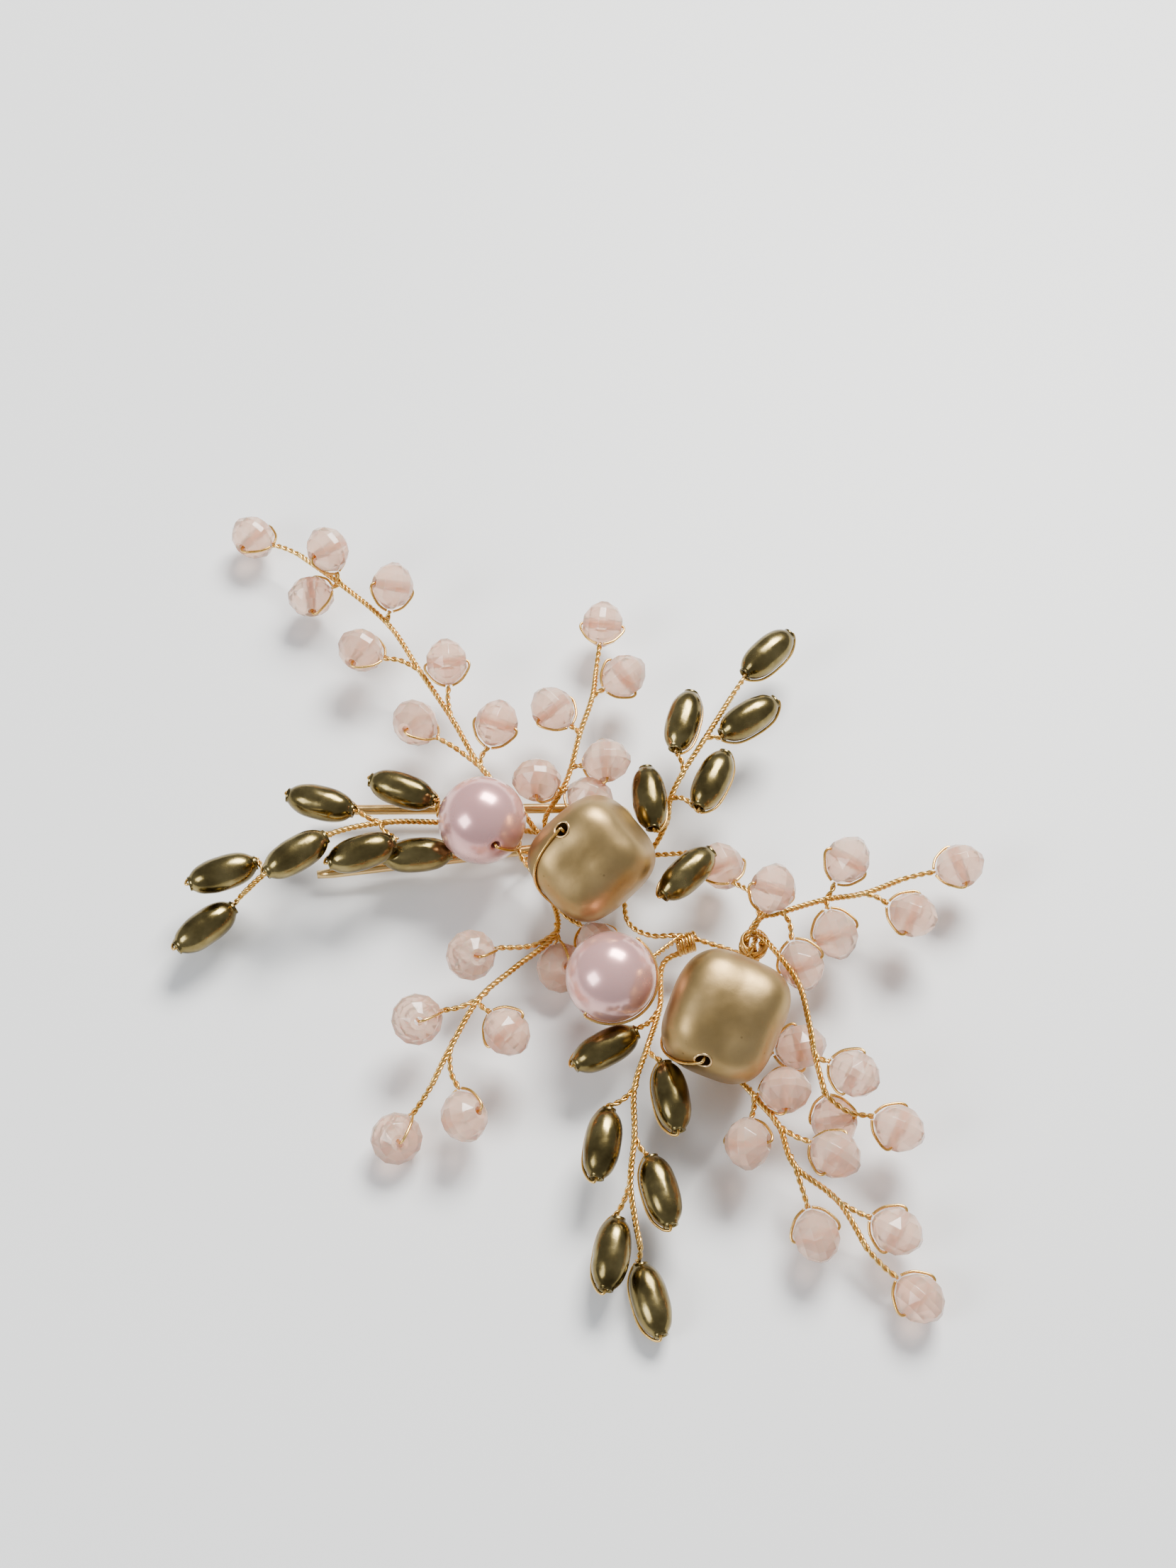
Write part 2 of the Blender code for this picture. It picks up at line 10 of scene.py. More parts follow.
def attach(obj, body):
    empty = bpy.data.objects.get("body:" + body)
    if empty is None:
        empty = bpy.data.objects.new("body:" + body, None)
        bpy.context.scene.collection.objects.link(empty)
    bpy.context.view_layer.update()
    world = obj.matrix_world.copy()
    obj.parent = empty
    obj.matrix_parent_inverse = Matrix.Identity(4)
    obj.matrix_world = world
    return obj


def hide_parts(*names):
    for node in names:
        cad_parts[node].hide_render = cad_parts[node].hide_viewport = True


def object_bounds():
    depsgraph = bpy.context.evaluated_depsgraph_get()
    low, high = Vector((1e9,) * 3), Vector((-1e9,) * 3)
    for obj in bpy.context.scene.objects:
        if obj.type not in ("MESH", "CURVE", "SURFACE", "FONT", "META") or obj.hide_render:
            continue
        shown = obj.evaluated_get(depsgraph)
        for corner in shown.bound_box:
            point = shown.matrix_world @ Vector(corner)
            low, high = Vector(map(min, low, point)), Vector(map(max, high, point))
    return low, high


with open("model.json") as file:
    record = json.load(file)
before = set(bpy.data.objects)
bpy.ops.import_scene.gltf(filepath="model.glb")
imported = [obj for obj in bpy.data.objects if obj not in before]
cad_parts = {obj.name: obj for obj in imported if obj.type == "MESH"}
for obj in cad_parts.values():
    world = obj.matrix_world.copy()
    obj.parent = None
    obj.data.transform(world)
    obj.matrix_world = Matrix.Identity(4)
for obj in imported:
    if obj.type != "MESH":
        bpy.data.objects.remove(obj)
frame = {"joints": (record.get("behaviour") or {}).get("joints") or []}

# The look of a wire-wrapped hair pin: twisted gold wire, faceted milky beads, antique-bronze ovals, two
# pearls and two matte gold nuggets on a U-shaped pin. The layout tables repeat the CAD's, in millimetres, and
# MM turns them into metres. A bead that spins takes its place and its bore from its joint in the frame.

cad_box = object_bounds()

MM = 0.001
UP = Vector((0.0, 0.0, 1.0))

# Wire
STRAND_RADIUS = 0.165
STRAND_OFFSET = 0.17  # from the middle of a twisted pair to the middle of each strand
TWIST_PITCH = 1.9
TWIST_STEPS = 10  # points on each turn
STRAND_BEVEL = 2
STEM_STRANDS = 3
STEM_STRAND_OFFSET = 0.19
LATEST_PHASE = 6.0  # radians that a twist may be turned by at its start
TWIG_EARLY = 1.2  # how far back along the stem a twig starts at most
TWIG_EARLY_SHARE = 0.3  # and as a share of its reach
TWIG_ALONG_SHARE = 0.16  # of the reach, that a twig's middle is carried along the stem
TWIG_MIDDLE = 0.42  # of the way to the bead
LOOP_STEPS = 5  # between two points of a bead's loop
WELD = 0.001  # between the points of a wire's caps and its walls

# Small beads
BORE_RADIUS = 0.5
ROSE_RADIUS = 2.85
ROSE_HALF_WIDTH = 2.35
ROSE_SIDES = 12
# Half of a faceted bead's profile, from its bore to its band: (radius, height, steps that it is turned by)
ROSE_PROFILE = [(BORE_RADIUS, 2.12, 0), (0.95, ROSE_HALF_WIDTH, 0), (2.12, 1.58, 0.5), (ROSE_RADIUS, 0.38, 0)]
BRONZE_RADIUS = 2.0
BRONZE_HALF_LENGTH = 4.0
BRONZE_SIDES = 40
BRONZE_RINGS = 26
BRONZE_SQUARENESS = 2.6
BRONZE_END_RADIUS = 0.85
BRONZE_DISH_RADIUS = 0.72
BRONZE_DISH_DEPTH = 0.28
BRONZE_LIP = 0.02  # how far the dish's edge lies inside the bead's end
BRONZE_MESHES = 4  # differently uneven ones
BRONZE_UNEVEN = 0.07
BRONZE_UNEVEN_SCALE = 0.7
BRONZE_LOOP_DROP = 0.5  # how far a bronze bead's loop leans down for each unit sideways
BORE_EDGE = 1.3  # bore radii within which a bronze bead isn't uneven
EDGE_WIDTH = 0.045  # a faceted bead's polished edges
EDGE_SEGMENTS = 2
EDGE_ANGLE = 12.0

# Where the wire leaves a faceted bead's bore and hugs its outside, from the bore's middle: (along, sideways)
ROSE_HUG = [(0.0, 0.0), (1.6, 0.0), (2.35, 0.04), (2.64, 0.4), (2.5, 1.08), (1.76, 2.22), (1.1, 2.75),
            (0.4, 3.07)]
# The same for a bronze bead: how far along its bore the strand hugs it, in how many steps of what length
BRONZE_HUG_TOP = 3.6
BRONZE_HUG_STEPS = 9
BRONZE_HUG_STEP = 0.9
BRONZE_HUG_STRETCH = 1.04  # how far the strand stands off along the bore
HUG_GAP = 0.19  # from a bronze bead's surface to the middle of the strand that hugs it

# Pearls
PEARL_RADIUS = 5.0
PEARL_SIDES = 64
PEARL_RINGS = 40
PEARL_SINK_SHARE = 1.45  # the countersink's angle over the bore's
PEARL_SINK = [(1.0, 0.35), (1.12, 0.12)]  # (bore radii, depth) down the countersink, from the inside

# Nuggets
NUGGET_BORE_RADIUS = 0.9
NUGGET_SQUARENESS = 3.0
NUGGET_SUBDIVISIONS = 6
NUGGET_WAVES = [(2.2, 0.05), (6.0, 0.02)]  # (scale, height) of the lump's unevenness
DRILL_DEPTH = 24
DRILL_SIDES = 32
RIM_RADIUS = 0.13
RIM_STEPS = 48
RIM_SINK = 0.03
ORNAMENT_CLEARANCE = 0.2  # from an ornament to the middle of the strand that hugs it
ORNAMENT_LOOP_STEPS = 40
ORNAMENT_BORE_STEPS = 6
ORNAMENT_SMOOTH_STEPS = 2

# Pin and bindings
PIN_WIRE_RADIUS = 0.6
PIN_CROWN_RADIUS = 2.1
PIN_LEG_LENGTH = 34.5
PIN_SPLAY = 7.0
PIN_CROWN_AHEAD = 7.0
PIN_TURN = 7.5
PIN_BEVEL = 6
PIN_TIP = 0.75  # the tips' radius as a share of the wire's
CROWN_STEPS = 24
LEG_STEPS = 20
BINDING_CENTRE = (-0.3, 6.6, 2.257)
COIL_RADIUS = 2.1
COIL_PITCH = 0.36
COIL_TURNS = 10
BINDING_SLOTS = 7
BINDING_SLOT_RADIUS = 1.3
KNOT_CENTRE = (19.5, -8.0, 6.5)
KNOT_SLOT_RADIUS = 0.8
KNOT_RADIUS = 1.35
KNOT_TURNS = 6
KNOT_TILTS = (28, -24)
KNOT_TILTED_OUT = 0.2
KNOT_TILTED_TURNS = 2
WRAP_RADIUS = 1.05
WRAP_TURNS = 6
COIL_STEPS_PER_TURN = 24
COIL_ALONG_WAVE = (0.05, 0.37)  # how far a coil's turns stray along it, and how often
COIL_REACH_WAVE = (0.06, 0.61)  # and in and out

# Light, camera and floor
SKY_STRENGTH = 0.42
CAMERA_TARGET = (1.0, 12.0, 7.0)
CAMERA_ELEVATION = 62.0
CAMERA_DISTANCE = 262.0
FOCAL_SHARE = 1.4467  # focal length over the image's height
SENSOR = 36.0
FLOOR_SIZE = 3.0
FLOOR_DROP = 0.0001  # below the object, in metres

# Each sprig has its stem's slot in the binding or the knot, the points of its stem beyond it, then its beads.
# near_bronze has no slot: its stem joins the wire between the two nuggets, and its "wrap" is the centre and
# the direction of the coil there. A bead has the number of the stem point that its twig leaves from, how far
# it stands forward and to the left of that point along the stem's direction in plan, its height above the
# table, and a turn in degrees: for a rose bead the turn of its loop about the twig, for a bronze bead the
# heading of its long axis. A bead marked "joined" is one solid with its wire in the CAD and a piece of its
# own here. Stem points are numbered from 0, and a slot gives the first two.
SPRIGS = {
    "far_left_rose": {
        "kind": "rose",
        "slot": ("binding", 0, 1, -3.5),
        "stem": [(-5, 7.5, 4), (-7.5, 11, 4.5), (-11.5, 15, 5.5), (-15, 21, 6.5), (-19, 27.5, 6.5),
                 (-23, 34, 6.5), (-29, 40, 6), (-34.5, 45, 5)],
        "beads": [(9, 7, 1.5, 3.5, 10), (8, 3, -1, 9.5, 20), (8, 2.5, 3, 4, 0), (7, 3, -3, 8.5, 25),
                  (6, 6.5, 4.5, 6, 10), (5, 6.5, -3, 7.5, 0), (4, 9, 3, 6.5, 30),
                  (4, 3, -4.5, 7, 0, "joined")],
    },
    "far_rose": {
        "kind": "rose",
        "slot": ("binding", 2, 1, -3),
        "stem": [(-4, 9.5, 3), (-2, 12, 5.5), (-1, 14.5, 6), (0, 18.5, 7), (1.5, 23.5, 7), (2, 28, 6)],
        "beads": [(7, 7, 0, 5, 0), (6, 4, -3, 6.5, 20), (5, 2.5, 4, 7, 0), (4, 1, -4, 8.5, 10, "joined"),
                  (3, -1.5, 2.5, 8, 0, "joined"), (3, 0.5, -3.5, 6, 0, "joined")],
    },
    "left_bronze": {
        "kind": "bronze",
        "slot": ("binding", 1, 1, -3.5),
        "stem": [(-10, 8.5, 3), (-15.5, 8, 5), (-22.5, 7, 7), (-29, 5, 7.5), (-35, 1, 7), (-38, -1.5, 6)],
        "beads": [(3, 4.5, -3.5, 7.5, -20), (4, 6.5, -3.5, 8, -15), (3, 3.5, 4, 5.5, 5, "joined"),
                  (4, 3, 4, 8.5, 20), (5, 4, 2, 10, 35), (6, 4.5, -3, 6.5, 20), (7, 5.5, 0, 4.5, 40)],
    },
    "far_right_bronze": {
        "kind": "bronze",
        "slot": ("binding", 5, -1.5, 3),
        "stem": [(7.5, 5, 2.5), (10, 8, 4.5), (10.5, 10.5, 6), (12, 13.5, 7), (14.5, 17.5, 7.5),
                 (18, 24, 6.5)],
        "beads": [(7, 7.5, -1, 6, 45), (6, 5.5, -3, 7, 35), (5, 5.5, 3, 8, 75), (4, 3, -4, 8, 65),
                  (3, 0.5, 2.5, 8, 95, "joined"), (2, 2.5, -6.5, 8.5, 45)],
    },
    "near_left_rose": {
        "kind": "rose",
        "slot": ("binding", 6, 1, -3.5),
        "stem": [(-3.5, 1.5, 1.5), (-2.5, -5.5, 4.5), (-7, -10.5, 6), (-11, -14.5, 6.5), (-14, -20, 6),
                 (-16, -24, 5)],
        "beads": [(3, 6.5, -8, 7, 55), (5, 6, -4, 6.5, 60), (5, 1.5, 5, 7, 20), (7, 6.5, -1, 2.8, 60),
                  (6, 6, 5, 5, 40), (3, 3.5, 1.5, 2.9, 70, "joined"), (2, 8.5, 5, 3, 0, "joined")],
    },
    "near_bronze": {
        "kind": "bronze",
        "wrap": ((12, -7.2, 4.9), (3.5, 1, 1)),
        "stem": [(13, -7.5, 4.3), (9.5, -9, 3.5), (9, -14.5, 4), (7.5, -20, 6), (6, -25, 6.5), (6, -30, 6),
                 (5.5, -35, 5.5), (6, -39, 4.5), (6.5, -41.5, 4)],
        "beads": [(2, 6.5, -5, 5.5, 30, "joined"), (3, 5, 4, 6.5, 100), (4, 6.5, -2.5, 6, 80),
                  (5, 6, 3, 5.5, 105), (6, 7.5, -2, 4, 80), (8, 5.5, 0, 2.05, 105)],
    },
    "right_rose": {
        "kind": "rose",
        "slot": ("knot", 165, 5.5, 8),
        "stem": [(20, -6, 9), (22.5, -5, 8.5), (27.5, -3, 7.5), (32, -2, 7), (36.5, 0, 6.5)],
        "beads": [(2, 2, 9, 5, 0, "joined"), (2, 2.5, 1, 12, 30), (4, 4, 3.5, 8.5, 20), (6, 7, -1, 6, 0),
                  (5, 4.5, -4, 6.5, 10), (4, 0, -4, 6.5, 10, "joined"), (3, 0, -6, 6.5, 20)],
    },
    "outer_right_rose": {
        "kind": "rose",
        "slot": ("knot", 75, 5.5, 8),
        "stem": [(21.5, -10, 9.5), (24, -14, 9.5), (25, -18.5, 9), (25.5, -21.5, 8), (26.5, -26, 7.5)],
        "beads": [(5, 3.5, 3.5, 9, 20), (6, 5, 7, 6, 10), (5, 6.5, 1, 3.5, 30, "joined")],
    },
    "lower_right_rose": {
        "kind": "rose",
        "slot": ("knot", 345, 7.5, 5),
        "stem": [(19, -11, 2.5), (17, -20, 2), (19, -25, 4.5), (21.5, -29, 6), (23, -33.5, 6), (27.5, -37, 5),
                 (30.5, -42, 4)],
        "beads": [(4, 5, -3.5, 6, 20), (5, 6, 3.5, 8, 10), (6, 7, -2.5, 4, 10), (7, 6.5, 2.5, 4.5, 20),
                  (8, 7, 2, 2.9, 10), (4, 1.5, 3, 6, 0, "joined"), (3, -1, 7.5, 3.5, 20, "joined")],
    },
}

# The nuggets' and pearls' wires: their slots, the points between, and the tails. A tail has its ornament, the
# number of the point that it leaves from, and where it meets the ornament's loop, in degrees from the bore.
ORNAMENT_WIRES = {
    "upper_nugget": {
        "slot": ("binding", 3, 1, -3),
        "stem": [(-4.5, 5.5, 1), (-6, 4.5, 2.5), (-6.5, 3.5, 4.5)],
        "tails": [("left_pearl", 4, 120), ("upper_nugget", 4, 115)],
    },
    "lower_nugget": {
        "slot": ("binding", 4, -1, 3),
        "stem": [(5, 2, 1.5), (5.5, -3.5, 3), (8, -6, 4.5), (11.5, -6.5, 5.5), (15.5, -7.5, 5)],
        "end_slot": ("knot", 255, 5, 8.5),
        "tails": [("centre_pearl", 5, 150), ("lower_nugget", 8, 170)],
    },
}

# The four ornaments: centre, the way the bore faces, and the side that the wire hugs.
ORNAMENTS = {
    "upper_nugget": {"centre": (1.5, 1, 10), "bore": (-0.5, 0.1, 0.85), "side": (-0.8, -0.6, -0.1)},
    "lower_nugget": {"centre": (16, -18, 10), "bore": (-0.4, -0.85, 0.3), "side": (-0.75, 0.2, -0.6)},
    "left_pearl": {"centre": (-11, 6, 9.5), "bore": (0.35, -0.85, 0.4), "side": (0.6, 0.2, -0.7)},
    "centre_pearl": {"centre": (3.5, -13, 9), "bore": (-0.55, -0.8, -0.15), "side": (0.8, -0.55, -0.2)},
}

# Each nugget is a rounded block: half sizes on its own axes, turn, and dents (direction, depth, sharpness).
NUGGETS = {
    "upper_nugget": {
        "half_sizes": (6.5, 6.2, 6.1),
        "turn": (20, -25, 35),
        "dents": [((-0.2, -0.5, 0.8), 0.5, 8), ((0.6, -0.7, 0.4), 0.7, 5), ((0.7, 0.3, 0.65), 0.6, 5)],
    },
    "lower_nugget": {
        "half_sizes": (6.4, 6.9, 6.1),
        "turn": (15, 10, -20),
        "dents": [((-0.1, -0.75, 0.65), 0.9, 6), ((0.3, 0.35, 0.85), 0.7, 5), ((0.8, -0.6, 0.3), 0.7, 5)],
    },
}

random.seed(7)


# Materials


def new_nodes(name):
    """A new material, its node tree and its Principled shader."""
    material = bpy.data.materials.new(name)
    material.use_nodes = True
    tree = material.node_tree
    return material, tree, tree.nodes["Principled BSDF"]


def add_noise(tree, scale, detail=4.0, roughness=0.55):
    place = tree.nodes.new("ShaderNodeTexCoord")
    noise_node = tree.nodes.new("ShaderNodeTexNoise")
    noise_node.inputs["Scale"].default_value = scale
    noise_node.inputs["Detail"].default_value = detail
    noise_node.inputs["Roughness"].default_value = roughness
    tree.links.new(place.outputs["Object"], noise_node.inputs["Vector"])
    return noise_node.outputs["Fac"]


def add_ramp(tree, source, stops):
    ramp = tree.nodes.new("ShaderNodeValToRGB")
    elements = ramp.color_ramp.elements
    while len(elements) < len(stops):
        elements.new(0.5)
    for element, (place, colour) in zip(elements, stops):
        element.position = place
        element.color = (*colour, 1.0)
    tree.links.new(source, ramp.inputs["Fac"])
    return ramp.outputs["Color"]


def add_range(tree, source, low, high, source_low=0.3, source_high=0.7):
    span = tree.nodes.new("ShaderNodeMapRange")
    span.inputs["From Min"].default_value = source_low
    span.inputs["From Max"].default_value = source_high
    span.inputs["To Min"].default_value = low
    span.inputs["To Max"].default_value = high
    tree.links.new(source, span.inputs["Value"])
    return span.outputs["Result"]


def add_bump(tree, shader, source, height_mm, strength=1.0):
    bump = tree.nodes.new("ShaderNodeBump")
    bump.inputs["Strength"].default_value = strength
    bump.inputs["Distance"].default_value = height_mm * MM
    tree.links.new(source, bump.inputs["Height"])
    tree.links.new(bump.outputs["Normal"], shader.inputs["Normal"])


def wire_material():
    """Light gold craft wire: bright, with faint drawing marks and small changes of tone."""
    material, tree, shader = new_nodes("gold_wire")
    shader.inputs["Metallic"].default_value = 1.0
    tone = add_ramp(tree, add_noise(tree, 260.0), [(0.35, (0.66, 0.38, 0.09)), (0.65, (0.84, 0.55, 0.18))])
    tree.links.new(tone, shader.inputs["Base Color"])
    tree.links.new(add_range(tree, add_noise(tree, 900.0), 0.20, 0.34), shader.inputs["Roughness"])
    add_bump(tree, shader, add_noise(tree, 4000.0, 2.0), 0.004)
    return material


def pin_material():
    """Gold-plated steel: a little darker and smoother than the craft wire."""
    material, tree, shader = new_nodes("gold_plated_pin")
    shader.inputs["Metallic"].default_value = 1.0
    tone = add_ramp(tree, add_noise(tree, 90.0), [(0.35, (0.64, 0.40, 0.14)), (0.65, (0.78, 0.53, 0.22))])
    tree.links.new(tone, shader.inputs["Base Color"])
    tree.links.new(add_range(tree, add_noise(tree, 500.0), 0.16, 0.30), shader.inputs["Roughness"])
    add_bump(tree, shader, add_noise(tree, 2500.0, 2.0), 0.003)
    return material


def nugget_material():
    """Matte antique gold: a soft metallic coat with a fine grain, cloudy tone and small dark specks."""
    material, tree, shader = new_nodes("matte_antique_gold")
    shader.inputs["Metallic"].default_value = 1.0
    clouds = add_noise(tree, 120.0, 6.0)
    stops = [(0.30, (0.34, 0.225, 0.085)), (0.50, (0.42, 0.285, 0.12)), (0.72, (0.49, 0.345, 0.16))]
    tone = add_ramp(tree, clouds, stops)
    specks = tree.nodes.new("ShaderNodeTexVoronoi")
    specks.inputs["Scale"].default_value = 900.0
    place = tree.nodes.new("ShaderNodeTexCoord")
    tree.links.new(place.outputs["Object"], specks.inputs["Vector"])
    near_speck = add_range(tree, specks.outputs["Distance"], 0.75, 0.0, 0.05, 0.16)
    patches = add_range(tree, add_noise(tree, 300.0, 2.0), 0.0, 1.0, 0.52, 0.66)
    share = tree.nodes.new("ShaderNodeMath")
    share.operation = "MULTIPLY"
    share.use_clamp = True
    tree.links.new(near_speck, share.inputs[0])
    tree.links.new(patches, share.inputs[1])
    mix = tree.nodes.new("ShaderNodeMix")
    mix.data_type = "RGBA"
    mix.inputs["B"].default_value = (0.20, 0.13, 0.05, 1.0)
    tree.links.new(share.outputs["Value"], mix.inputs["Factor"])
    tree.links.new(tone, mix.inputs["A"])
    tree.links.new(mix.outputs["Result"], shader.inputs["Base Color"])
    tree.links.new(add_range(tree, add_noise(tree, 350.0, 5.0), 0.38, 0.48), shader.inputs["Roughness"])
    add_bump(tree, shader, add_noise(tree, 2600.0, 4.0, 0.7), 0.012, 0.7)
    return material


def rim_material():
    """The bore's rim, where the coat is rubbed bright."""
    material, tree, shader = new_nodes("bright_gold_rim")
    shader.inputs["Metallic"].default_value = 1.0
    tone = add_ramp(tree, add_noise(tree, 500.0), [(0.35, (0.70, 0.47, 0.20)), (0.65, (0.92, 0.70, 0.40))])
    tree.links.new(tone, shader.inputs["Base Color"])
    tree.links.new(add_range(tree, add_noise(tree, 900.0), 0.22, 0.36), shader.inputs["Roughness"])
    return material


def pearl_material():
    """Pink pearl: a soft body under a clear coat, with a thin film's faint change of hue."""
    material, tree, shader = new_nodes("pink_pearl")
    stops = [(0.30, (0.78, 0.42, 0.40)), (0.70, (0.84, 0.50, 0.46))]
    tone = add_ramp(tree, add_noise(tree, 70.0, 3.0), stops)
    tree.links.new(tone, shader.inputs["Base Color"])
    shader.inputs["Metallic"].default_value = 0.55
    shader.inputs["Subsurface Weight"].default_value = 0.25
    shader.inputs["Subsurface Radius"].default_value = (1.0, 0.6, 0.5)
    shader.inputs["Subsurface Scale"].default_value = 0.0012
    shader.inputs["Coat Weight"].default_value = 0.8
    shader.inputs["Coat Roughness"].default_value = 0.06
    shader.inputs["Thin Film Thickness"].default_value = 320.0
    shader.inputs["Thin Film IOR"].default_value = 1.35
    tree.links.new(add_range(tree, add_noise(tree, 300.0), 0.20, 0.28), shader.inputs["Roughness"])
    add_bump(tree, shader, add_noise(tree, 900.0, 3.0), 0.006, 0.5)
    return material


def rose_material():
    """Milky pink glass: light goes in and comes out softened, a little warmer in the thick middle."""
    material, tree, shader = new_nodes("milky_pink_glass")
    tone = add_ramp(tree, add_noise(tree, 160.0, 3.0), [(0.30, (1.0, 0.64, 0.47)), (0.70, (1.0, 0.74, 0.60))])
    tree.links.new(tone, shader.inputs["Base Color"])
    shader.inputs["Transmission Weight"].default_value = 0.65
    shader.inputs["IOR"].default_value = 1.48
    shader.inputs["Subsurface Weight"].default_value = 0.8
    shader.inputs["Subsurface Radius"].default_value = (1.0, 0.62, 0.52)
    shader.inputs["Subsurface Scale"].default_value = 0.0015
    tree.links.new(add_range(tree, add_noise(tree, 500.0), 0.06, 0.14), shader.inputs["Roughness"])
    add_bump(tree, shader, add_noise(tree, 1400.0, 3.0), 0.004, 0.4)
    return material


def bronze_material():
    """Antique bronze: dark polished plating with olive and brown clouds and fine pits."""
    material, tree, shader = new_nodes("antique_bronze")
    shader.inputs["Metallic"].default_value = 1.0
    stops = [(0.28, (0.085, 0.062, 0.022)), (0.5, (0.19, 0.145, 0.055)), (0.75, (0.33, 0.26, 0.11))]
    tree.links.new(add_ramp(tree, add_noise(tree, 320.0, 6.0), stops), shader.inputs["Base Color"])
    tree.links.new(add_range(tree, add_noise(tree, 700.0, 5.0), 0.14, 0.30), shader.inputs["Roughness"])
    add_bump(tree, shader, add_noise(tree, 1500.0, 5.0, 0.65), 0.02, 0.6)
    return material


def floor_material():
    """Pale matte floor with a faint change of tone."""
    material, tree, shader = new_nodes("pale_floor")
    tone = add_ramp(tree, add_noise(tree, 3.0, 2.0), [(0.3, (0.86, 0.875, 0.87)), (0.7, (0.89, 0.90, 0.895))])
    tree.links.new(tone, shader.inputs["Base Color"])
    shader.inputs["Roughness"].default_value = 0.45
    return material


# Paths


def smooth_path(points, steps=8):
    """The points of a smooth curve through the given points (a Catmull-Rom spline)."""
    ends = [points[0] * 2 - points[1], *points, points[-1] * 2 - points[-2]]
    path = []
    for before, start, end, after in zip(ends, ends[1:], ends[2:], ends[3:]):
        for step in range(steps):
            t = step / steps
            path.append(
                start
                + (end - before) * (t / 2)
                + (before * 2 - start * 5 + end * 4 - after) * (t**2 / 2)
                + (start * 3 - before - end * 3 + after) * (t**3 / 2)
            )
    path.append(points[-1])
    return path


def even_path(points, spacing):
    """The same line with its points evenly spaced."""
    lengths = [0.0]
    for start, end in zip(points, points[1:]):
        lengths.append(lengths[-1] + (end - start).length)
    count = max(2, round(lengths[-1] / spacing))
    path = []
    segment = 0
    for step in range(count + 1):
        wanted = lengths[-1] * step / count
        while segment < len(points) - 2 and lengths[segment + 1] < wanted:
            segment += 1
        length = lengths[segment + 1] - lengths[segment]
        share = (wanted - lengths[segment]) / length if length else 0.0
        path.append(points[segment].lerp(points[segment + 1], share))
    return path


def twisted_strands(points, strands=2, offset=STRAND_OFFSET, phase=0.0):
    """The centre lines of strands twisted round a path, with a frame carried along it without spin."""
    path = even_path(points, TWIST_PITCH / TWIST_STEPS)
    across = (path[1] - path[0]).orthogonal().normalized()
    lines = [[] for _ in range(strands)]
    for number, point in enumerate(path):
        ahead = path[min(number + 1, len(path) - 1)] - path[max(number - 1, 0)]
        ahead.normalize()
        across = (across - ahead * across.dot(ahead)).normalized()
        upward = ahead.cross(across)
        for strand in range(strands):
            angle = phase + 2 * math.pi * (number / TWIST_STEPS + strand / strands)
            lines[strand].append(point + (across * math.cos(angle) + upward * math.sin(angle)) * offset)
    return lines


# Layout


def slot_points(slot):
    """The two points of a slot: (place, number or angle, first and second position along the bundle)."""
    place, number, first, second = slot
    if place == "binding":
        angle = math.pi / 2 - 2 * math.pi * number / BINDING_SLOTS
        y = BINDING_CENTRE[1] + BINDING_SLOT_RADIUS * math.cos(angle)
        z = BINDING_CENTRE[2] + BINDING_SLOT_RADIUS * math.sin(angle)
        return [Vector((first, y, z)), Vector((second, y, z))]
    x = KNOT_CENTRE[0] + KNOT_SLOT_RADIUS * math.cos(math.radians(number))
    y = KNOT_CENTRE[1] + KNOT_SLOT_RADIUS * math.sin(math.radians(number))
    return [Vector((x, y, first)), Vector((x, y, second))]


def stem_points(wire):
    """All the points of a stem, with its slots'."""
    points = [Vector(point) for point in wire["stem"]]
    if "slot" in wire:
        points = slot_points(wire["slot"]) + points
    if "end_slot" in wire:
        points += slot_points(wire["end_slot"])
    return points


def bead_centre(stem, number, forward, left, height):
    """A bead's centre, counted from a stem point along the stem's direction in plan."""
    ahead = stem[min(number + 1, len(stem) - 1)] - stem[number - 1]
    ahead.z = 0.0
    ahead.normalize()
    centre = stem[number] + ahead * forward + UP.cross(ahead) * left
    centre.z = height
    return centre


# Objects


def add_piece(name, data, material):
    obj = bpy.data.objects.new(name, data)
    bpy.context.scene.collection.objects.link(obj)
    data.materials.clear()
    data.materials.append(material)
    return obj


def wire_piece(name, lines, material, radius=STRAND_RADIUS, bevel=STRAND_BEVEL, tip=1.0):
    """One mesh with every line as a round wire, riding on the root. Tip is the ends' share of the radius."""
    curve = bpy.data.curves.new(name, "CURVE")
    curve.dimensions = "3D"
    curve.bevel_depth = radius * MM
    curve.bevel_resolution = bevel
    curve.use_fill_caps = True
    for line in lines:
        spline = curve.splines.new("POLY")
        spline.points.add(len(line) - 1)
        for spline_point, point in zip(spline.points, line):
            spline_point.co = (*(point * MM), 1.0)
        spline.points[0].radius = tip
        spline.points[-1].radius = tip
        spline.use_smooth = True
    guide = bpy.data.objects.new(name, curve)
    bpy.context.scene.collection.objects.link(guide)
    evaluated = guide.evaluated_get(bpy.context.evaluated_depsgraph_get())
    data = bpy.data.meshes.new_from_object(evaluated)
    bpy.data.objects.remove(guide, do_unlink=True)
    welded = bmesh.new()
    welded.from_mesh(data)
    bmesh.ops.remove_doubles(welded, verts=welded.verts, dist=WELD * MM)
    welded.to_mesh(data)
    welded.free()
    obj = add_piece(name, data, material)
    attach(obj, "root")
    return obj


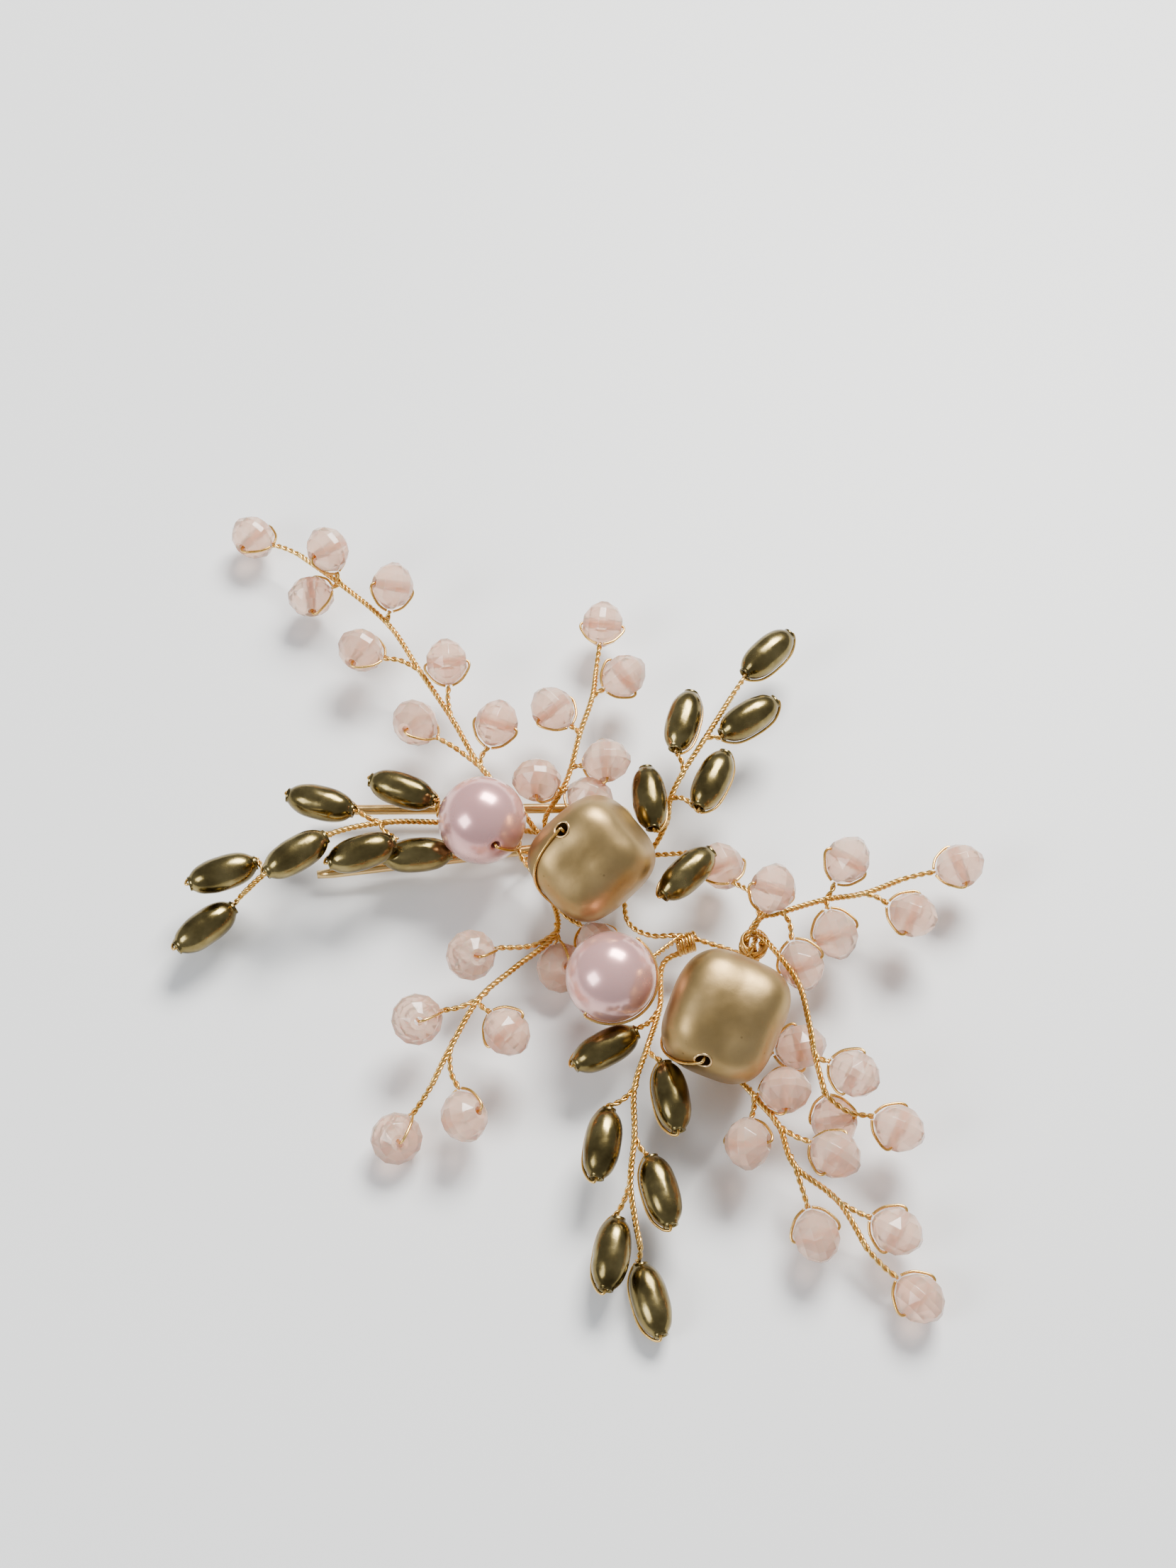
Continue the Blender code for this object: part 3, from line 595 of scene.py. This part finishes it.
def ring_mesh(name, rings, sides, smooth):
    """A closed mesh of rings round the Z axis, the last joined to the first.

    A ring is (radius, height, how many steps it is turned by).
    """
    mesh = bmesh.new()
    verts = []
    for radius, height, turned in rings:
        ring = []
        for side in range(sides):
            angle = 2 * math.pi * (side + turned) / sides
            point = (radius * MM * math.cos(angle), radius * MM * math.sin(angle), height * MM)
            ring.append(mesh.verts.new(point))
        verts.append(ring)
    for number, upper in enumerate(verts):
        lower = verts[(number + 1) % len(verts)]
        step = rings[(number + 1) % len(rings)][2] - rings[number][2]
        for side in range(sides):
            right = (side + 1) % sides
            if step == 0:
                mesh.faces.new((upper[side], lower[side], lower[right], upper[right]))
            elif step > 0:
                mesh.faces.new((upper[side], lower[side], upper[right]))
                mesh.faces.new((lower[side], lower[right], upper[right]))
            else:
                mesh.faces.new((upper[side], lower[side], lower[right]))
                mesh.faces.new((upper[side], lower[right], upper[right]))
    data = bpy.data.meshes.new(name)
    mesh.to_mesh(data)
    mesh.free()
    if smooth:
        data.shade_smooth()
    return data


# Beads


def rose_mesh():
    """A faceted bead: two rows of three-cornered facets each side of a narrow band, with dished ends."""
    rings = ROSE_PROFILE + [(radius, -height, turned) for radius, height, turned in reversed(ROSE_PROFILE)]
    return ring_mesh("rose_bead", rings, ROSE_SIDES, False)


def bronze_radius(height):
    """The oval bead's radius at a height along its bore."""
    share = min(1.0, abs(height) / BRONZE_HALF_LENGTH)
    return max(BRONZE_END_RADIUS, BRONZE_RADIUS * (1 - share**BRONZE_SQUARENESS) ** 0.5)


def bronze_mesh(seed):
    """A smooth oval bead with dished ends and slightly uneven, handled walls."""
    dish = BRONZE_HALF_LENGTH - BRONZE_DISH_DEPTH
    lip = BRONZE_HALF_LENGTH - BRONZE_LIP
    rings = [(BORE_RADIUS, dish, 0), (BRONZE_DISH_RADIUS, lip, 0)]
    for step in range(1, BRONZE_RINGS):
        height = BRONZE_HALF_LENGTH * math.cos(math.pi * step / BRONZE_RINGS)
        rings.append((bronze_radius(height), height, 0))
    rings += [(BRONZE_DISH_RADIUS, -lip, 0), (BORE_RADIUS, -dish, 0)]
    mesh = ring_mesh(f"bronze_bead_{seed}", rings, BRONZE_SIDES, True)
    for vertex in mesh.vertices:
        uneven = noise.noise(vertex.co / MM * BRONZE_UNEVEN_SCALE + Vector((seed * 9.0, 0.0, 0.0)))
        outward = Vector((vertex.co.x, vertex.co.y, 0.0))
        if outward.length > BORE_RADIUS * BORE_EDGE * MM:
            vertex.co += outward.normalized() * (min(0.0, uneven) * BRONZE_UNEVEN * MM)
    return mesh


def pearl_mesh():
    """A drilled pearl: a sphere with a softly countersunk hole at each end."""
    start = math.asin(BORE_RADIUS / PEARL_RADIUS) * PEARL_SINK_SHARE
    rings = [(BORE_RADIUS * share, PEARL_RADIUS - depth, 0) for share, depth in PEARL_SINK]
    for step in range(PEARL_RINGS + 1):
        angle = start + (math.pi - 2 * start) * step / PEARL_RINGS
        rings.append((PEARL_RADIUS * math.sin(angle), PEARL_RADIUS * math.cos(angle), 0))
    rings += [(BORE_RADIUS * share, depth - PEARL_RADIUS, 0) for share, depth in reversed(PEARL_SINK)]
    return ring_mesh("pearl", rings, PEARL_SIDES, True)


def place_bead(obj, centre, bore, spin):
    """Puts a bead's mesh at its place, with its Z axis along its bore and turned about it."""
    turn = bore.to_track_quat("Z", "X").to_matrix() @ Matrix.Rotation(spin, 3, "Z")
    obj.data.transform(Matrix.Translation(centre) @ turn.to_4x4())


def add_bead(name, kind, centre, bore, body, materials, meshes, replaced=None):
    """One bead, riding on a body, and standing for a CAD node if one is given."""
    mesh = random.choice(meshes[kind]).copy()
    obj = add_piece(name, mesh, materials[kind])
    place_bead(obj, centre, bore, random.uniform(0.0, 2 * math.pi))
    if kind == "rose":
        edges = obj.modifiers.new("polished edges", "BEVEL")
        edges.width = EDGE_WIDTH * MM
        edges.segments = EDGE_SEGMENTS
        edges.limit_method = "ANGLE"
        edges.angle_limit = math.radians(EDGE_ANGLE)
    if replaced:
        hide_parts(replaced)
    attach(obj, body)


def bead_axes(kind, centre, root, turn):
    """(bore direction, side that the wire's loop bulges to) of a bead on a twig from root."""
    if kind == "rose":
        outward = (centre - root).normalized()
        level = UP.cross(outward).normalized()
        return Matrix.Rotation(math.radians(turn), 3, outward) @ level, -outward
    heading = Vector((math.cos(math.radians(turn)), math.sin(math.radians(turn)), 0.0))
    if heading.dot(centre - root) < 0:
        heading.negate()
    return heading, (heading.cross(UP) - UP * BRONZE_LOOP_DROP).normalized()


def bead_loop(kind, centre, bore, side):
    """The single strand through the bore and round the outside, back to where it started."""
    if kind == "bronze":
        heights = [BRONZE_HUG_TOP - BRONZE_HUG_STEP * step for step in range(BRONZE_HUG_STEPS)]
        outside = [(height * BRONZE_HUG_STRETCH, bronze_radius(height) + HUG_GAP) for height in heights]
        end = BRONZE_HALF_LENGTH + HUG_GAP
        bore_run = [(-end, 0.15), (-2.0, 0.0), (2.0, 0.0), (end - 0.1, 0.05), (end + 0.05, 0.55)]
        hug = bore_run + outside + [(-end - 0.1, 0.5)]
    else:
        back = [(-along, sideways) for along, sideways in reversed(ROSE_HUG[1:])]
        hug = back + ROSE_HUG
    return smooth_path([centre + bore * along + side * sideways for along, sideways in hug], LOOP_STEPS)


# Sprigs


def twig_path(stem, root_index, base):
    """A twig that leaves the stem along it and bends out to the bead."""
    root = stem[root_index]
    along = (root - stem[root_index - 1]).normalized()
    reach = (base - root).length
    early = root - along * min(TWIG_EARLY, reach * TWIG_EARLY_SHARE)
    middle = root + along * (reach * TWIG_ALONG_SHARE) + (base - root) * TWIG_MIDDLE
    return smooth_path([early, root, middle, base])


def build_sprig(name, sprig, materials, meshes):
    """One sprig: its beads, and one piece with its stem, twigs and the strands through its beads."""
    kind = sprig["kind"]
    stem = stem_points(sprig)
    phase = random.uniform(0.0, LATEST_PHASE)
    lines = twisted_strands(smooth_path(stem), STEM_STRANDS, STEM_STRAND_OFFSET, phase=phase)
    joints = {joint["child"]: joint for joint in frame["joints"]}
    for number, (root_index, forward, left, height, turn, *marks) in enumerate(sprig["beads"], 1):
        centre = bead_centre(stem, root_index, forward, left, height)
        bore, side = bead_axes(kind, centre, stem[root_index], turn)
        loop = bead_loop(kind, centre, bore, side)
        base = loop[0].lerp(loop[-1], 0.5)
        twig = twig_path(stem, root_index, base)
        lines += twisted_strands(twig, phase=random.uniform(0.0, LATEST_PHASE))
        lines.append(loop)
        bead_name = f"{name}_bead_{number}"
        if marks:
            add_bead(bead_name + "_fixed", kind, centre * MM, bore, "root", materials, meshes)
            continue
        joint = joints[bead_name]
        place = Vector(joint["pos_m"])
        axis = Vector(joint["axis"])
        add_bead(bead_name + "_fine", kind, place, axis, bead_name, materials, meshes, bead_name)
    if "wrap" in sprig:
        centre, along = (Vector(value) for value in sprig["wrap"])
        lines.append(coil_line(centre, along.normalized(), UP, WRAP_RADIUS, WRAP_TURNS))
    wire = wire_piece(name + "_wire_twisted", lines, materials["wire"])
    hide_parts(name + "_wire")


# Nuggets


def nugget_turn(name):
    angles = [math.radians(angle) for angle in NUGGETS[name]["turn"]]
    turn = Matrix.Rotation(angles[2], 3, "Z")
    return turn @ Matrix.Rotation(angles[1], 3, "Y") @ Matrix.Rotation(angles[0], 3, "X")


def nugget_radius(name, direction):
    """How far the nugget's surface is from its centre along a world direction, in millimetres."""
    shape = NUGGETS[name]
    local = nugget_turn(name).transposed() @ direction
    power = NUGGET_SQUARENESS
    total = sum(abs(part / half) ** power for part, half in zip(local, shape["half_sizes"]))
    radius = total ** (-1 / power)
    for dent, depth, sharpness in shape["dents"]:
        radius -= depth * math.exp(-sharpness * (1 - Vector(dent).normalized().dot(direction)))
    return radius


def ornament_axes(name):
    bore = Vector(ORNAMENTS[name]["bore"]).normalized()
    side = Vector(ORNAMENTS[name]["side"])
    side = (side - bore * side.dot(bore)).normalized()
    return bore, side


def ornament_point(name, degrees):
    """A point of the wire that hugs an ornament, from 0 at the bore's face round its side to 180."""
    bore, side = ornament_axes(name)
    angle = math.radians(degrees)
    direction = bore * math.cos(angle) + side * math.sin(angle)
    radius = nugget_radius(name, direction) if name in NUGGETS else PEARL_RADIUS
    return Vector(ORNAMENTS[name]["centre"]) + direction * (radius + ORNAMENT_CLEARANCE)


def build_nugget(name, materials):
    """The sculpted lump with its bore cut through, and the bright rim of each end of the bore."""
    centre = Vector(ORNAMENTS[name]["centre"])
    bore = ornament_axes(name)[0]
    lump = bmesh.new()
    bmesh.ops.create_icosphere(lump, subdivisions=NUGGET_SUBDIVISIONS, radius=1.0)
    for vertex in lump.verts:
        direction = vertex.co.normalized()
        uneven = sum(noise.noise(direction * scale + centre) * height for scale, height in NUGGET_WAVES)
        vertex.co = direction * ((nugget_radius(name, direction) + uneven) * MM)
    data = bpy.data.meshes.new(name + "_lump")
    lump.to_mesh(data)
    lump.free()
    data.shade_smooth()
    obj = add_piece(name + "_lump", data, materials["nugget"])
    obj.location = centre * MM
    drill = bmesh.new()
    bmesh.ops.create_cone(drill, cap_ends=True, segments=DRILL_SIDES, radius1=NUGGET_BORE_RADIUS * MM,
                          radius2=NUGGET_BORE_RADIUS * MM, depth=DRILL_DEPTH * MM)
    drill.transform(bore.to_track_quat("Z", "X").to_matrix().to_4x4())
    drill_data = bpy.data.meshes.new(name + "_drill")
    drill.to_mesh(drill_data)
    drill.free()
    cutter = bpy.data.objects.new(name + "_drill", drill_data)
    bpy.context.scene.collection.objects.link(cutter)
    cutter.location = centre * MM
    cut = obj.modifiers.new("bore", "BOOLEAN")
    cut.operation = "DIFFERENCE"
    cut.object = cutter
    bpy.context.view_layer.update()
    cut_data = bpy.data.meshes.new_from_object(obj.evaluated_get(bpy.context.evaluated_depsgraph_get()))
    obj.modifiers.clear()
    obj.data = cut_data
    bpy.data.objects.remove(cutter, do_unlink=True)
    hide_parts(name)
    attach(obj, "root")
    across = bore.orthogonal().normalized()
    upward = bore.cross(across)
    for end, facing in (("front", bore), ("back", -bore)):
        ring = []
        for step in range(RIM_STEPS + 1):
            angle = 2 * math.pi * step / RIM_STEPS
            outward = across * math.cos(angle) + upward * math.sin(angle)
            aim = (facing * nugget_radius(name, facing) + outward * NUGGET_BORE_RADIUS).normalized()
            height = nugget_radius(name, aim) - RIM_SINK
            ring.append(centre + aim * height)
        wire_piece(f"{name}_bore_rim_{end}", [ring], materials["rim"], radius=RIM_RADIUS)


def build_ornament_wire(name, wire, materials):
    """The wire of a nugget and a pearl, with the strands that hug them and, on one wire, the knot."""
    path = stem_points(wire)
    lines = twisted_strands(smooth_path(path))
    for ornament, root_index, degrees in wire["tails"]:
        steps = range(ORNAMENT_LOOP_STEPS + 1)
        loop = [ornament_point(ornament, 180 * step / ORNAMENT_LOOP_STEPS) for step in steps]
        bore_steps = range(1, ORNAMENT_BORE_STEPS)
        inside = [loop[-1].lerp(loop[0], step / ORNAMENT_BORE_STEPS) for step in bore_steps]
        lines.append(smooth_path([*loop, *inside, loop[0]], ORNAMENT_SMOOTH_STEPS))
        base = ornament_point(ornament, degrees)
        lines += twisted_strands(smooth_path([path[root_index], base]))
    if "end_slot" in wire:
        knot = Vector(KNOT_CENTRE)
        towards = (path[-1] - knot) * Vector((1.0, 1.0, 0.0))
        lines.append(coil_line(knot, UP, towards.normalized(), KNOT_RADIUS, KNOT_TURNS))
        for tilt in KNOT_TILTS:
            axis = Matrix.Rotation(math.radians(tilt), 3, towards) @ UP
            radius = KNOT_RADIUS + KNOT_TILTED_OUT
            lines.append(coil_line(knot, axis, towards.normalized(), radius, KNOT_TILTED_TURNS))
    piece = wire_piece(name + "_wire_twisted", lines, materials["wire"])
    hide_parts(name + "_wire")


# Pin and bindings


def coil_line(centre, axis, across, radius, turns):
    """A binding's centre line: a close helix with slightly uneven turns."""
    upward = axis.cross(across)
    along_height, along_rate = COIL_ALONG_WAVE
    reach_height, reach_rate = COIL_REACH_WAVE
    line = []
    for step in range(turns * COIL_STEPS_PER_TURN + 1):
        turn = step / COIL_STEPS_PER_TURN
        angle = 2 * math.pi * step / COIL_STEPS_PER_TURN
        along = COIL_PITCH * (turn - turns / 2) + along_height * math.sin(angle * along_rate)
        reach = radius + reach_height * math.sin(angle * reach_rate)
        line.append(centre + axis * along + (across * math.cos(angle) + upward * math.sin(angle)) * reach)
    return line


def build_pin(materials):
    """The U of round wire with rounded tips."""
    bend_x = PIN_CROWN_AHEAD - PIN_CROWN_RADIUS - PIN_WIRE_RADIUS
    splay = math.radians(PIN_SPLAY)
    outward = Vector((-math.cos(splay), math.sin(splay), 0.0))
    place = Matrix.Translation(Vector(BINDING_CENTRE)) @ Matrix.Rotation(math.radians(PIN_TURN), 4, "Z")
    crown = []
    for step in range(CROWN_STEPS + 1):
        angle = math.pi / 2 - splay - (math.pi - splay) * step / CROWN_STEPS
        reach = Vector((math.cos(angle), 1 + math.sin(angle), 0.0)) * PIN_CROWN_RADIUS
        crown.append(Vector((bend_x, 0.0, 0.0)) + reach)
    reaches = [PIN_LEG_LENGTH * (1 - step / LEG_STEPS) for step in range(LEG_STEPS)]
    far_leg = [crown[0] + outward * reach for reach in reaches]
    near_leg = [Vector((bend_x - reach, 0.0, 0.0)) for reach in reversed(reaches)]
    line = [place @ point for point in far_leg + crown + near_leg]
    pin = wire_piece(
        "hair_pin_wire", [line], materials["pin"], radius=PIN_WIRE_RADIUS, bevel=PIN_BEVEL, tip=PIN_TIP
    )
    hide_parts("hair_pin")


def build_binding(materials):
    """The close wrap round the near leg and the roots of the stems."""
    line = coil_line(Vector(BINDING_CENTRE), Vector((1.0, 0.0, 0.0)), UP, COIL_RADIUS, COIL_TURNS)
    binding = wire_piece("binding_wire_coil", [line], materials["wire"])
    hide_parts("binding_wire")


# Floor, light and camera


def build_stage(material):
    mesh = bmesh.new()
    bmesh.ops.create_grid(mesh, x_segments=1, y_segments=1, size=FLOOR_SIZE / 2)
    data = bpy.data.meshes.new("floor")
    mesh.to_mesh(data)
    mesh.free()
    data.materials.append(material)
    floor = bpy.data.objects.new("floor", data)
    floor.location.z = cad_box[0][2] - FLOOR_DROP
    bpy.context.scene.collection.objects.link(floor)


def add_area_light(name, place, size, power, colour):
    """A rectangular light aimed at the origin."""
    light = bpy.data.lights.new(name, "AREA")
    light.shape = "RECTANGLE"
    light.size, light.size_y = size
    light.energy = power
    light.color = colour
    obj = bpy.data.objects.new(name, light)
    bpy.context.scene.collection.objects.link(obj)
    obj.location = place
    obj.rotation_euler = (-Vector(place)).to_track_quat("-Z", "Y").to_euler()


def build_light():
    world = bpy.data.worlds.new("soft_daylight")
    bpy.context.scene.world = world
    world.use_nodes = True
    background = world.node_tree.nodes["Background"]
    background.inputs["Color"].default_value = (0.90, 0.93, 1.0, 1.0)
    background.inputs["Strength"].default_value = SKY_STRENGTH
    add_area_light(
        "window", place=(0.18, 0.42, 0.55), size=(0.36, 0.26), power=11.0, colour=(1.0, 0.98, 0.95)
    )
    add_area_light(
        "fill", place=(-0.5, -0.25, 0.45), size=(0.3, 0.3), power=3.0, colour=(0.96, 0.98, 1.0)
    )


def build_camera():
    camera = bpy.data.cameras.new("camera")
    camera.sensor_fit = "AUTO"
    camera.sensor_width = SENSOR
    camera.lens = FOCAL_SHARE * SENSOR
    camera.clip_start = 0.01
    obj = bpy.data.objects.new("camera", camera)
    bpy.context.scene.collection.objects.link(obj)
    elevation = math.radians(CAMERA_ELEVATION)
    back = Vector((0.0, -math.cos(elevation), math.sin(elevation)))
    target = Vector(CAMERA_TARGET) * MM
    obj.location = target + back * (CAMERA_DISTANCE * MM)
    obj.rotation_euler = (-back).to_track_quat("-Z", "Y").to_euler()
    bpy.context.scene.camera = obj


def build_all():
    materials = {
        "wire": wire_material(),
        "pin": pin_material(),
        "nugget": nugget_material(),
        "rim": rim_material(),
        "pearl": pearl_material(),
        "rose": rose_material(),
        "bronze": bronze_material(),
    }
    meshes = {
        "rose": [rose_mesh()],
        "bronze": [bronze_mesh(seed) for seed in range(BRONZE_MESHES)],
        "pearl": [pearl_mesh()],
    }
    for name, sprig in SPRIGS.items():
        build_sprig(name, sprig, materials, meshes)
    for name, wire in ORNAMENT_WIRES.items():
        build_ornament_wire(name, wire, materials)
    for name in NUGGETS:
        build_nugget(name, materials)
    for joint in frame["joints"]:
        name = joint["child"]
        if name.endswith("_pearl"):
            place = Vector(joint["pos_m"])
            axis = Vector(joint["axis"])
            add_bead(name + "_fine", "pearl", place, axis, name, materials, meshes, name)
    build_pin(materials)
    build_binding(materials)
    build_stage(floor_material())


build_all()
build_light()
build_camera()
